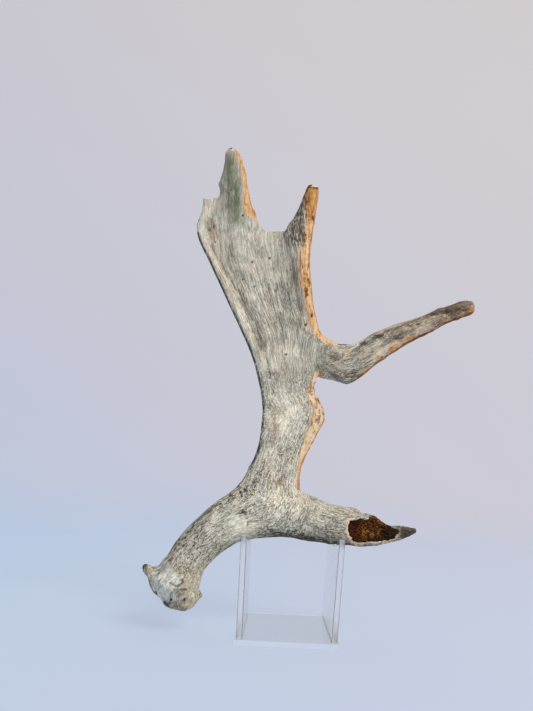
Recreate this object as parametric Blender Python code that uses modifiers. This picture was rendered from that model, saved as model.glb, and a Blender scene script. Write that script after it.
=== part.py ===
"""A shed moose antler standing in a clear acrylic display stand.

Metres, +Z up. X runs to the right and +Y away from whoever faces the palm. The origin is the centre of
the stand's underside. The antler is one bone, parted at its main forks into six pieces. Heights in the
tables below are taken from the top of the stand's base sheet.
"""

import math

import bmesh
import bpy
from mathutils import Matrix, Vector

MM = 0.001
GAP = 0.3  # clearance between neighbours, mm

# Stand, mm
SHEET = 6.0  # thickness of the acrylic
BASE_WIDTH = 109.0
BASE_DEPTH = 156.0
WALL_DEPTH = 150.0
WALL_SPACING = 99.0  # between the walls' middles, at the foot
WALL_LEANS = {"stand_left_wall": 0.0, "stand_right_wall": 3.5}  # outwards, degrees
HORN_HEIGHT = 104.0  # top of the wall's front and back corners
SEAT_HEIGHT = 92.5  # lowest point of the cradle between them
HORN_FLAT = 5.0  # level top of each corner
EDGE_ROUND = 0.4

# Antler surface
RING_POINTS = 28
STEPS = 4  # rings laid between two stations
VOXEL = 2.2 * MM
SMOOTH_PASSES = 5
ANTLER_TRIANGLES = 7600

# Every station of a branch is (ax, az, bx, bz, y, t): its two outline points a and b, seen from the front, the
# depth of its middle, and half of its thickness from front to back. All in mm.
BEAM = [
    (-143, 22.5, -114, 15.5, -20, 12),
    (-152, 33, -102, 21, -19, 23),
    (-158, 45, -98.5, 27, -18, 29),
    (-159, 56, -100, 32, -17, 31),
    (-148, 63, -101, 41, -15, 28),
    (-138, 77, -99.5, 49.5, -13, 25),
    (-130.5, 92, -96, 60, -10, 23.5),
    (-114.5, 110.5, -80.5, 76.5, -6, 23.5),
    (-92, 133, -62, 89, -3, 24),
    (-66, 150, -42, 95, -1, 24.5),
    (-35, 160, -16, 98.5, 0, 25),
    (0, 156, 2, 98, 0, 24.5),
    (26, 148, 22, 95.5, 0, 23.5),
    (46, 140, 42, 93.5, 0, 22),
    (64, 137, 62, 92.5, 0, 20.5),
    (80, 136, 78, 92, 1, 19),
    (93.5, 130, 91.5, 92, 2, 17),
    (105.5, 126, 104.5, 94, 4, 14),
    (120, 118, 120, 97, 7, 10),
    (136, 118, 135, 101.5, 9, 7),
    (154, 116, 151, 108.5, 10, 3.5),
]
PALM = [
    (-82, 140, -24, 104, -1, 20),
    (-67, 152, 0, 116, 0, 22),
    (-56, 168, 12, 140, 0, 22),
    (-47, 185, 11.5, 164, 0, 21),
    (-41.5, 201, 14.5, 186, 0, 20),
    (-38.5, 222, 27, 214, 0, 18),
    (-37.5, 242, 39.5, 240, 0, 16),
    (-38.5, 257, 35, 258, 0, 15.5),
    (-41.5, 273, 26.5, 272, 1, 15.5),
    (-46.5, 293, 28, 290, 1, 15.5),
    (-53, 312, 36, 308, 2, 15),
    (-62, 333, 38, 328, 3, 13.5),
    (-74, 357, 30, 355, 4, 11.5),
    (-88, 383.5, 22, 381.5, 5, 9.5),
    (-101, 409, 18.5, 407, 6, 8),
    (-114, 435, 15.5, 434, 6, 7),
    (-127, 459.5, 16, 458.5, 6, 6.4),
    (-133, 475.5, 12, 475, 6, 6),
    (-134, 483.5, -6, 482.5, 6, 5.5),
]
LEFT_RIM = [
    (-38, 248, -26, 248, 0, 5),
    (-41.5, 273, -26, 272, 0.5, 8),
    (-46.5, 293, -30, 290, 1, 9),
    (-53, 312, -36, 308, 1, 9.2),
    (-62, 333, -45, 328, 1, 9.2),
    (-74, 357, -57, 351, 1, 9),
    (-88, 383.5, -71, 377, 1, 8.7),
    (-101, 409, -85, 402, 1, 8.4),
    (-114, 435, -99, 428, 1, 8),
    (-127, 459.5, -112, 453, 1, 7.5),
    (-133.5, 478, -119, 475, 2, 6),
]
PALM_CORNER = [
    (-106, 440, -56, 440, 5, 2),
    (-127, 466, -46, 464, 5, 5),
    (-135.5, 486, -50, 484, 5, 6),
    (-132, 496.5, -55, 495.5, 4, 6.5),
    (-128.5, 507.5, -60, 506.5, 3, 6),
    (-129, 517, -66, 515, 2, 5),
    (-129, 522.5, -76, 522.5, 1, 4),
]
LEFT_TINE = [
    (-100, 432, -64, 432, 5, 2),
    (-108, 468, -52, 468, 5, 5.5),
    (-110, 496.5, -54, 495.5, 3, 8),
    (-107, 516.5, -62, 514.5, 1, 9),
    (-107, 532.5, -67, 531.5, -1, 9.2),
    (-107, 546.5, -70, 545.5, -3, 9.2),
    (-103.5, 560.5, -72.5, 560.5, -5, 8.8),
    (-102, 574.5, -78, 575.5, -7, 7.8),
    (-101.5, 584.5, -83.5, 586.5, -8, 6.5),
    (-97, 591, -89, 592, -9, 3.5),
]
RIGHT_TINE = [
    (14, 364, 26, 362, 1, 4),
    (2, 382, 22, 381, 1, 7.5),
    (-3, 407, 18.5, 406, 1, 8.2),
    (-8, 435, 15.5, 434, 1, 8.6),
    (-15, 460, 16, 459, 1.5, 9),
    (-18, 484, 18, 482, 2, 9.5),
    (-9, 499.5, 20, 497.5, 1, 9.8),
    (-3, 512.5, 21.5, 510.5, -1, 9.6),
    (2, 526.5, 23, 523.5, -3, 9),
    (6, 538, 24, 534, -4, 8.2),
    (10, 545, 23.5, 540, -5, 6.5),
]
SIDE_TINE = [
    (-24, 354, -28, 320, 4, 2),
    (0, 360, -6, 303, 3.5, 8),
    (27, 350.5, 25, 291.5, 2, 13.5),
    (47, 337, 48, 288, 0, 16),
    (61.5, 334.5, 64.5, 284, -3, 17),
    (75.5, 335.5, 83, 294, -6, 17),
    (91, 345, 99.5, 308, -9, 16),
    (108, 353, 119, 323, -12, 15),
    (129, 361.5, 139, 335.5, -15, 13),
    (151, 369, 160, 347, -18, 11.5),
    (169, 377.5, 178, 357.5, -20, 10.5),
    (186.5, 384, 193, 364.5, -22, 9.8),
    (201.5, 389.5, 206.5, 369, -23, 9),
    (215, 389.5, 216, 373.5, -24, 6.5),
]
PALM_CUP = 7.0  # how far the palm's edges stand forward of its middle, mm

# Knobs round the burr: how far round it, in degrees from its right side by way of the front, and their size, mm
BURR = BEAM[3]
KNOBS = [(2, 4), (38, 4), (70, 5), (108, 4), (142, 4.5), (180, 6.5), (212, 5), (248, 4), (285, 5.5), (325, 4.5)]

# The hollow where the brow tine has split open, an ellipsoid: middle, radii in mm, and its tilt
BREAK_MIDDLE = (102, -21, 110)
BREAK_RADII = (36, 20, 17)
BREAK_TILT = 8

# Cuts at the forks: middle x and z, how far they reach along the cut, and its angle from level, degrees
FORKS = {
    "brow_tine_fork": (32, 121, 84, 90),
    "palm_fork": (-16, 178, 96, 0),
    "side_tine_fork": (46, 314, 84, 90),
    "left_tine_fork": (-87, 531, 70, 0),
    "right_tine_fork": (5, 492, 60, 0),
}
# A point inside each piece of the antler, x and z
PIECES = {
    "beam": (-80, 110),
    "brow_tine": (60, 112),
    "palm": (-20, 330),
    "side_tine": (130, 350),
    "left_tine": (-90, 560),
    "right_tine": (12, 520),
}

BONE_COLOURS = {
    "beam": (0.52, 0.50, 0.45),
    "brow_tine": (0.46, 0.43, 0.37),
    "palm": (0.54, 0.52, 0.47),
    "side_tine": (0.52, 0.47, 0.40),
    "left_tine": (0.50, 0.46, 0.38),
    "right_tine": (0.53, 0.43, 0.33),
}
ACRYLIC_COLOUR = (0.86, 0.90, 0.90)


def clear_scene():
    for obj in list(bpy.data.objects):
        bpy.data.objects.remove(obj, do_unlink=True)


def collection(name):
    made = bpy.data.collections.new(name)
    bpy.context.scene.collection.children.link(made)
    return made


def material(name, colour, roughness, transmission=0.0):
    made = bpy.data.materials.new(name)
    made.use_nodes = True
    shader = made.node_tree.nodes["Principled BSDF"]
    shader.inputs["Base Color"].default_value = (*colour, 1.0)
    shader.inputs["Roughness"].default_value = roughness
    shader.inputs["Metallic"].default_value = 0.0
    shader.inputs["Transmission Weight"].default_value = transmission
    return made


def new_object(name, mesh, home):
    obj = bpy.data.objects.new(name, mesh)
    home.objects.link(obj)
    return obj


def place(x, y, z):
    """A point of the antler in metres, from mm above the stand's base sheet."""
    return Vector((x, y, z + SHEET)) * MM


def curve_through(stations):
    """Rows of numbers laid smoothly through the stations."""
    rows = []
    last = len(stations) - 1
    for i in range(last):
        before, here, there, after = (
            stations[max(0, min(last, k))] for k in range(i - 1, i + 3)
        )
        for step in range(STEPS):
            s = step / STEPS
            rows.append([
                0.5 * (2 * q + (r - p) * s + (2 * p - 5 * q + 4 * r - n) * s**2 + (3 * q - p - 3 * r + n) * s**3)
                for p, q, r, n in zip(before, here, there, after)
            ])
    rows.append(list(stations[-1]))
    return rows


def point_round(row, angle, cup=0.0):
    """The point at this angle round a section, from outline point b by way of the front."""
    ax, az, bx, bz, y, thickness = row
    across = math.cos(angle)
    forward = thickness * math.sin(angle) + cup * (across**2 - 0.5)
    x = (ax + bx) / 2 + (bx - ax) / 2 * across
    z = (az + bz) / 2 + (bz - az) / 2 * across
    return place(x, y - forward, z)


def ring(row, cup):
    """Points round one section, an oval between the two outline points, its edges brought forward by cup."""
    return [point_round(row, math.tau * i / RING_POINTS, cup) for i in range(RING_POINTS)]


def loft(mesh, stations, cup=0.0):
    """One closed branch, added to the mesh. Its first and last rings are capped flat."""
    rings = [[mesh.verts.new(p) for p in ring(row, cup)] for row in curve_through(stations)]
    for low, high in zip(rings, rings[1:]):
        for i in range(RING_POINTS):
            j = (i + 1) % RING_POINTS
            mesh.faces.new((low[i], low[j], high[j], high[i]))
    mesh.faces.new(reversed(rings[0]))
    mesh.faces.new(rings[-1])


def whole_antler(home):
    """All branches melted into one skin, smoothed, and thinned to few triangles."""
    mesh = bmesh.new()
    for stations in (BEAM, LEFT_RIM, LEFT_TINE, RIGHT_TINE, SIDE_TINE):
        loft(mesh, stations)
    for stations in (PALM, PALM_CORNER):
        loft(mesh, stations, PALM_CUP)
    for angle, size in KNOBS:
        spot = Matrix.Translation(point_round(BURR, math.radians(angle)))
        bmesh.ops.create_uvsphere(mesh, u_segments=16, v_segments=10, radius=size * MM, matrix=spot)
    bmesh.ops.recalc_face_normals(mesh, faces=mesh.faces)
    data = bpy.data.meshes.new("antler_branches")
    mesh.to_mesh(data)
    mesh.free()
    antler = new_object("antler_whole", data, home)
    remesh = antler.modifiers.new("Melt", "REMESH")
    remesh.mode = "VOXEL"
    remesh.voxel_size = VOXEL
    smooth = antler.modifiers.new("Soften", "SMOOTH")
    smooth.iterations = SMOOTH_PASSES
    return antler


def split_hollow(home):
    bpy.ops.mesh.primitive_uv_sphere_add(segments=32, ring_count=20, radius=1)
    hollow = bpy.context.object
    hollow.name = "brow_tine_hollow"
    hollow.location = place(*BREAK_MIDDLE)
    hollow.scale = Vector(BREAK_RADII) * MM
    hollow.rotation_euler.y = math.radians(BREAK_TILT)
    return as_cutter(hollow, home)


def fork_slab(name, x, z, reach, angle, home):
    """A thin upright sheet that parts two branches by the gap."""
    bpy.ops.mesh.primitive_cube_add(size=1)
    slab = bpy.context.object
    slab.name = name
    slab.location = place(x, 0, z)
    slab.scale = (reach * MM, 120 * MM, GAP * MM)
    slab.rotation_euler.y = math.radians(angle)
    return as_cutter(slab, home)


def as_cutter(obj, home):
    for other in list(obj.users_collection):
        other.objects.unlink(obj)
    home.objects.link(obj)
    obj.hide_render = True
    obj.display_type = "WIRE"
    return obj


def cut(obj, cutter):
    boolean = obj.modifiers.new(cutter.name, "BOOLEAN")
    boolean.operation = "DIFFERENCE"
    boolean.object = cutter


def applied(obj):
    """The object's mesh with its modifiers, and the modifiers gone."""
    bpy.context.view_layer.update()
    graph = bpy.context.evaluated_depsgraph_get()
    mesh = bpy.data.meshes.new_from_object(obj.evaluated_get(graph))
    obj.modifiers.clear()
    obj.data = mesh


def thin(obj, triangles):
    applied(obj)
    decimate = obj.modifiers.new("Thin", "DECIMATE")
    faces = sum(len(face.vertices) - 2 for face in obj.data.polygons)
    decimate.ratio = triangles / faces
    applied(obj)


def islands(mesh):
    """Sets of vertices that hang together."""
    left = set(mesh.verts)
    while left:
        todo = [left.pop()]
        found = set(todo)
        while todo:
            for edge in todo.pop().link_edges:
                for vert in edge.verts:
                    if vert in left:
                        left.discard(vert)
                        found.add(vert)
                        todo.append(vert)
        yield found


def reach_of(island):
    return [(min(v.co[i] for v in island), max(v.co[i] for v in island)) for i in (0, 2)]


def holds(island, point):
    x, _, z = place(point[0], 0, point[1])
    return all(low < at < high for (low, high), at in zip(reach_of(island), (x, z)))


def split_pieces(antler, home):
    """One object for each piece that the fork cuts leave, told apart by the point that each holds."""
    for name, point in PIECES.items():
        mesh = bmesh.new()
        mesh.from_mesh(antler.data)
        kept = min(
            (island for island in islands(mesh) if holds(island, point)),
            key=lambda island: math.prod(high - low for low, high in reach_of(island)),
        )
        bmesh.ops.delete(mesh, geom=[v for v in mesh.verts if v not in kept], context="VERTS")
        data = bpy.data.meshes.new(name)
        mesh.to_mesh(data)
        mesh.free()
        piece = new_object(name, data, home)
        piece.data.materials.clear()
        piece.data.materials.append(material(f"{name}_bone", BONE_COLOURS[name], 0.75))
        piece.data.shade_smooth()
        piece.data.set_sharp_from_angle(angle=math.radians(40))
    bpy.data.objects.remove(antler, do_unlink=True)


def acrylic(obj):
    obj.data.materials.append(material(f"{obj.name}_acrylic", ACRYLIC_COLOUR, 0.05, 1.0))
    bevel = obj.modifiers.new("Eased edges", "BEVEL")
    bevel.width = EDGE_ROUND * MM
    bevel.segments = 1
    bevel.limit_method = "ANGLE"
    bevel.angle_limit = math.radians(30)


def stand_base(home):
    bpy.ops.mesh.primitive_cube_add(size=1)
    base = bpy.context.object
    base.name = "stand_base"
    base.dimensions = (BASE_WIDTH * MM, BASE_DEPTH * MM, SHEET * MM)
    base.location.z = SHEET / 2 * MM
    bpy.ops.object.transform_apply(location=False, rotation=False, scale=True)
    for other in list(base.users_collection):
        other.objects.unlink(base)
    home.objects.link(base)
    acrylic(base)


def wall_outline():
    """Across the depth: two upright corners with a shallow round cradle between them."""
    side = WALL_DEPTH / 2
    foot = GAP
    half_chord = side - HORN_FLAT
    sag = HORN_HEIGHT - SEAT_HEIGHT
    radius = (half_chord**2 + sag**2) / (2 * sag)
    sweep = math.asin(half_chord / radius)
    points = [(-side, foot), (side, foot), (side, HORN_HEIGHT)]
    for i in range(25):
        angle = sweep * (1 - i / 12)
        points.append((radius * math.sin(angle), SEAT_HEIGHT + radius * (1 - math.cos(angle))))
    points.append((-side, HORN_HEIGHT))
    return points


def stand_wall(name, lean, side, home):
    """A cradle wall glued on the base, leaning outwards. The outline is drawn flat and stood up."""
    curve = bpy.data.curves.new(name, "CURVE")
    curve.dimensions = "2D"
    curve.fill_mode = "BOTH"
    curve.extrude = SHEET / 2 * MM
    outline = wall_outline()
    spline = curve.splines.new("POLY")
    spline.points.add(len(outline) - 1)
    for point, (y, z) in zip(spline.points, outline):
        point.co = (y * MM, z * MM, 0, 1)
    spline.use_cyclic_u = True
    drawn = new_object(f"{name}_outline", curve, home)
    bpy.context.view_layer.update()
    graph = bpy.context.evaluated_depsgraph_get()
    mesh = bpy.data.meshes.new_from_object(drawn.evaluated_get(graph))
    bpy.data.objects.remove(drawn, do_unlink=True)
    welded = bmesh.new()
    welded.from_mesh(mesh)
    bmesh.ops.remove_doubles(welded, verts=welded.verts, dist=0.00001)
    bmesh.ops.recalc_face_normals(welded, faces=welded.faces)
    welded.to_mesh(mesh)
    welded.free()
    wall = new_object(name, mesh, home)
    upright = Matrix.Rotation(math.radians(90), 4, "Z") @ Matrix.Rotation(math.radians(90), 4, "X")
    leant = Matrix.Rotation(math.radians(side * lean), 4, "Y")
    wall.matrix_world = Matrix.Translation(place(side * WALL_SPACING / 2, 0, 0)) @ leant @ upright
    acrylic(wall)


def main():
    clear_scene()
    parts = collection("moose_antler")
    cutters = collection("cutters")
    antler = whole_antler(parts)
    cut(antler, split_hollow(cutters))
    thin(antler, ANTLER_TRIANGLES)
    for name, (x, z, reach, angle) in FORKS.items():
        cut(antler, fork_slab(name, x, z, reach, angle, cutters))
    applied(antler)
    split_pieces(antler, parts)
    stand_base(parts)
    for side, (name, lean) in zip((-1, 1), WALL_LEANS.items()):
        stand_wall(name, lean, side, parts)


main()
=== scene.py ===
import itertools
import math
from types import SimpleNamespace

import bpy
import numpy as np
from mathutils import Matrix, Vector


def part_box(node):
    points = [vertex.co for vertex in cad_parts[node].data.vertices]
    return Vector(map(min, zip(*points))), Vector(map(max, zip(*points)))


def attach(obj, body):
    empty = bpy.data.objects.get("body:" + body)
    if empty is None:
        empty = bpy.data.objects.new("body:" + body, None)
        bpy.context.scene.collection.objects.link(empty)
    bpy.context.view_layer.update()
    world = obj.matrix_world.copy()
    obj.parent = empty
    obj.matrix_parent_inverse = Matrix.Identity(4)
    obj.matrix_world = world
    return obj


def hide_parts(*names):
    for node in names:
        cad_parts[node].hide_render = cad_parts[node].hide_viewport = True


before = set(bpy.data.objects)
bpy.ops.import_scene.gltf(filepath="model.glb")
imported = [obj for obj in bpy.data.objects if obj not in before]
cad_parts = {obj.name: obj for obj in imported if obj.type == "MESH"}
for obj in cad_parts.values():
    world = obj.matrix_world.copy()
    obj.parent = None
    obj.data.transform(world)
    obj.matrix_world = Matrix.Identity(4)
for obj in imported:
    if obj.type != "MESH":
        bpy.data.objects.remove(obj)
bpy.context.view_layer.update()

# Places on the antler are in millimetres from the middle of the underside of the stand's base sheet.
baseLow, baseHigh = (Vector(corner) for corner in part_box("stand_base"))
anchor = Vector(((baseLow.x + baseHigh.x) / 2, (baseLow.y + baseHigh.y) / 2, baseLow.z))
mm = 0.001


class Wire:
    # one socket in a material's nodes: sums on it add the Math nodes that work them out
    def __init__(self, tree, socket=None):
        self.tree = tree
        self.socket = socket

    def add(self, kind, settings=None, sockets=None, output=0):
        # a node of any other kind: its settings come first, then the values or wires of its sockets
        node = self.tree.nodes.new("ShaderNode" + kind)
        settings = dict(settings or {})
        stops = settings.pop("stops", None)
        for name, value in settings.items():
            setattr(node, name, value)
        if stops:
            ramp = node.color_ramp
            while len(ramp.elements) < len(stops):
                ramp.elements.new(0.5)
            for element, (place, colour) in zip(ramp.elements, stops):
                element.position = place
                element.color = (*colour, 1)
        self.feed(node, sockets or {})
        return Wire(self.tree, node.outputs[output])

    def feed(self, node, sockets):
        for name, value in sockets.items():
            socket = node.inputs[name]
            if isinstance(value, Wire):
                self.tree.links.new(value.socket, socket)
            elif isinstance(value, tuple) and len(value) == 3 and socket.type == "RGBA":
                socket.default_value = (*value, 1)
            else:
                socket.default_value = value

    def maths(self, operation, *values):
        return self.add("Math", {"operation": operation}, dict(enumerate(values)))

    def step(self, low, high):
        # 0 below low, 1 above high, and smooth between
        sockets = {"Value": self, "From Min": low, "From Max": high}
        return self.add("MapRange", {"interpolation_type": "SMOOTHSTEP"}, sockets)

    def blend(self, first, second):
        # a colour: first where this is 0, second where it is 1
        return self.add("Mix", {"data_type": "RGBA"}, {0: self, 6: first, 7: second}, 2)

    def times(self, amount):
        # a colour made lighter or darker
        return self.add("VectorMath", {"operation": "SCALE"}, {0: self, "Scale": amount})

    def stretched(self, x, y, z):
        return self.add("VectorMath", {"operation": "MULTIPLY"}, {0: self, 1: (x, y, z)})

    def noise(self, where, scale, detail=2.0, roughness=0.5, distortion=0.0):
        sockets = {"Vector": where, "Scale": scale, "Detail": detail, "Roughness": roughness}
        return self.add("TexNoise", None, {**sockets, "Distortion": distortion})

    def attribute(self, name, output="Vector"):
        return self.add("Attribute", {"attribute_name": name}, None, output)

    def parts(self):
        # the three numbers of a colour or vector
        return [self.add("SeparateXYZ", None, {0: self}, k) for k in range(3)]


for name, operation in (("add", "ADD"), ("sub", "SUBTRACT"), ("mul", "MULTIPLY"), ("truediv", "DIVIDE")):
    setattr(Wire, f"__{name}__", lambda one, two, kind=operation: one.maths(kind, one, two))
    setattr(Wire, f"__r{name}__", lambda one, two, kind=operation: one.maths(kind, two, one))


def newMaterial(name):
    # the material, a first wire in its nodes, and its main shader
    material = bpy.data.materials.new(name)
    material.use_nodes = True
    return material, Wire(material.node_tree), material.node_tree.nodes["Principled BSDF"]


def lattice(cells, seed):
    # one number from 0 to 1 for each whole-numbered cell, the same on every run
    mixed = cells[:, 0] * 73856093 ^ cells[:, 1] * 19349663 ^ cells[:, 2] * 83492791 ^ (seed + 1) * 2654435761
    mixed = (mixed ^ (mixed >> 13)) * 1274126177 & 0x7FFFFFFF
    mixed = (mixed ^ (mixed >> 15)) * 1103515245 & 0x7FFFFFFF
    return (mixed >> 7 & 0xFFFF) / 0xFFFF


def noiseAt(points, size, seed=0):
    # smooth, from -1 to 1, with lumps about size across
    scaled = points / np.asarray(size)
    low = np.floor(scaled).astype(np.int64)
    part = scaled - low
    part = part * part * (3 - 2 * part)
    total = np.zeros(len(points))
    for corner in itertools.product((0, 1), repeat=3):
        weight = np.prod(np.where(corner, part, 1 - part), axis=1)
        total += weight * lattice(low + corner, seed)
    return total * 2 - 1


def roughAt(points, size, seed=0, octaves=3):
    # the same in several sizes, each half of the one before
    return sum(noiseAt(points, np.asarray(size) / 2**k, seed + 17 * k) / 2**k for k in range(octaves))


def ease(values, low, high):
    # 0 at low and 1 at high, whichever is the larger
    t = np.clip((values - low) / (high - low), 0, 1)
    return t * t * (3 - 2 * t)


def toLine(flat, line, closed=False):
    # how far each point of the front view lies from a line of straight stretches
    starts = np.asarray(line, float)
    ends = np.roll(starts, -1, axis=0)
    if not closed:
        starts, ends = starts[:-1], ends[:-1]
    best = np.full(len(flat), np.inf)
    for start, end in zip(starts, ends):
        way = end - start
        share = np.clip((flat - start) @ way / (way @ way), 0, 1)
        best = np.minimum(best, np.linalg.norm(flat - start - share[:, None] * way, axis=1))
    return best


def smoothRow(rows, steps):
    # rows laid smoothly through the given ones
    rows = np.asarray(rows, float)
    padded = np.vstack([rows[:1], rows, rows[-1:]])
    made = []
    for i in range(len(rows) - 1):
        p, q, r, n = padded[i : i + 4]
        for s in np.arange(steps) / steps:
            square, cube = 2 * p - 5 * q + 4 * r - n, 3 * q - p - 3 * r + n
            made.append(0.5 * (2 * q + (r - p) * s + square * s**2 + cube * s**3))
    return np.array(made + [rows[-1]])


def alongGuide(points, guide):
    # how far each point lies along the guide, and to its right, seen from the front
    line = smoothRow(guide, 6)
    flat = points[:, [0, 2]]
    best = np.full(len(points), np.inf)
    along = np.zeros(len(points))
    across = np.zeros(len(points))
    run = 0.0
    for start, end in zip(line, line[1:]):
        way = end - start
        length = np.linalg.norm(way)
        share = np.clip((flat - start) @ way / length**2, 0, 1)
        gap = flat - start - share[:, None] * way
        distance = np.linalg.norm(gap, axis=1)
        closer = distance < best
        best[closer] = distance[closer]
        along[closer] = run + share[closer] * length
        across[closer] = (gap @ np.array([way[1], -way[0]]) / length)[closer]
        run += length
    return along, across


def edgesOf(along, across, chosen, spread, last=np.inf, step=3.0):
    # the skin's left and right edges beside the guide: read every few millimetres from the chosen points,
    # smoothed over a spread of readings, and unchanged after the last one
    index = (along / step).astype(int)
    count = index.max() + 1
    reach = []
    for sign in (-1, 1):
        most = np.full(count, -np.inf)
        np.maximum.at(most, index[chosen], sign * across[chosen])
        known = np.flatnonzero(np.isfinite(most))
        filled = np.interp(np.arange(count), known, most[known])
        window = np.hanning(2 * spread + 3)[1:-1]
        eased = np.convolve(np.pad(filled, spread, mode="edge"), window / window.sum(), "valid")
        reach.append(sign * np.interp(np.minimum(along, last) / step, np.arange(count) + 0.5, eased))
    return reach


antler = {
    "nodes": ("beam", "brow_tine", "palm", "side_tine", "left_tine", "right_tine"),
    # which pieces meet at each fork, and the axis that crosses it
    "forks": (("beam", "brow_tine", 0), ("beam", "palm", 2), ("palm", "side_tine", 0),
              ("palm", "left_tine", 2), ("palm", "right_tine", 2)),
    "overlap": 1.5,  # how far each piece is pushed into the next one before they melt together
    "grain": 1.48,  # spacing of the skin's points
    "softening": 10,  # passes of smoothing
    "browTop": 171,  # the burr, the beam and the brow tine lie below this height
    # the middle line of each branch, as (x, z)
    "trunkGuide": [
        (-128, 25), (-129, 48), (-122, 62), (-113, 82), (-98, 99), (-77, 117), (-52, 136), (-30, 156),
        (-20, 175), (-14, 196), (-6, 225), (0, 247), (-2, 263), (-8, 279), (-9, 306), (-12, 336),
        (-22, 362), (-33, 388), (-41, 414), (-49, 440), (-55, 465), (-58, 487), (-60, 520), (-60, 606),
    ],
    "browGuide": [
        (-20, 132), (10, 130), (42, 123), (63, 120.5), (92, 117), (105, 116), (120, 113.5), (135, 115.5),
        (153, 118),
    ],
    "sideGuide": [
        (-20, 332), (10, 332), (26, 327), (47.5, 318.5), (63, 315), (79, 321), (95, 332.5), (134, 354.5),
        (173.5, 373.5), (204, 385), (216, 387.5),
    ],
}


def only(obj):
    bpy.ops.object.select_all(action="DESELECT")
    obj.select_set(True)
    bpy.context.view_layer.objects.active = obj


def added(name, data):
    # a new object in the scene
    obj = bpy.data.objects.new(name, data)
    bpy.context.scene.collection.objects.link(obj)
    return obj


def copyOf(node):
    # a CAD node's mesh as a new object, with its loose triangles joined up
    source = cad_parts[node]
    made = source.copy()
    made.data = source.data.copy()
    made.parent = None
    made.matrix_world = Matrix.Identity(4)
    bpy.context.scene.collection.objects.link(made)
    only(made)
    bpy.ops.object.mode_set(mode="EDIT")
    bpy.ops.mesh.select_all(action="SELECT")
    bpy.ops.mesh.remove_doubles(threshold=0.00001)
    bpy.ops.object.mode_set(mode="OBJECT")
    return made


def reachAcross(piece, nodeBeyond, axis):
    # pushes the flat face at a fork into the next piece
    low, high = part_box(nodeBeyond)
    others = [k for k in range(3) if k != axis]
    for vertex in piece.data.vertices:
        beside = abs(vertex.co[axis] - low[axis] + 0.3 * mm) < 0.08 * mm
        if beside and all(low[k] - 3 * mm < vertex.co[k] < high[k] + 3 * mm for k in others):
            vertex.co[axis] += antler["overlap"] * mm


def meltedAntler():
    # one closed skin over all six pieces
    copies = {node: copyOf(node) for node in antler["nodes"]}
    for near, far, axis in antler["forks"]:
        reachAcross(copies[near], far, axis)
    whole = copies["palm"]
    only(whole)
    for piece in copies.values():
        piece.select_set(True)
    bpy.ops.object.join()
    whole.name = "antler_skin"
    whole.data.name = "antler_skin"
    whole.data.materials.clear()
    remesh = whole.modifiers.new("Melt", "REMESH")
    remesh.mode = "VOXEL"
    remesh.voxel_size = antler["grain"] * mm
    bpy.ops.object.modifier_apply(modifier=remesh.name)
    return whole


class Skin:
    # a mesh's points as rows of millimetres from the anchor
    def __init__(self, obj):
        self.obj = obj
        mesh = obj.data
        flat = np.empty(len(mesh.vertices) * 3)
        mesh.vertices.foreach_get("co", flat)
        self.points = (flat.reshape(-1, 3) - np.array(anchor)) / mm
        ends = np.empty(len(mesh.edges) * 2, np.int32)
        mesh.edges.foreach_get("vertices", ends)
        self.one, self.two = ends.reshape(-1, 2).T
        count = len(self.points)
        self.degree = np.bincount(self.one, minlength=count) + np.bincount(self.two, minlength=count)

    def around(self, values):
        # the mean of each point's neighbours
        if values.ndim == 2:
            return np.stack([self.around(column) for column in values.T], axis=1)
        count = len(values)
        total = np.bincount(self.one, values[self.two], count)
        total += np.bincount(self.two, values[self.one], count)
        return total / self.degree

    def softened(self, passes, values=None):
        # smoothing that doesn't shrink: one step in, one step out
        values = self.points if values is None else values
        for _ in range(passes):
            values = values + 0.5 * (self.around(values) - values)
            values = values - 0.52 * (self.around(values) - values)
        return values

    def write(self):
        flat = (self.points * mm + np.array(anchor)).ravel()
        self.obj.data.vertices.foreach_set("co", flat)
        self.obj.data.update()

    def normals(self):
        self.write()
        flat = np.empty(len(self.points) * 3)
        self.obj.data.vertex_normals.foreach_get("vector", flat)
        return flat.reshape(-1, 3)

    def push(self, depth):
        # moves each point outwards by so many millimetres
        self.points = self.points + self.normals() * depth[:, None]

    def keep(self, name, values):
        # on the mesh, for the finish to read
        kind, field = ("FLOAT_VECTOR", "vector") if values.ndim == 2 else ("FLOAT", "value")
        layer = self.obj.data.attributes.new(name, kind, "POINT")
        layer.data.foreach_set(field, np.ascontiguousarray(values, np.float32).ravel())


flowNames = ("trunk", "palm", "limb")


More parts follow.
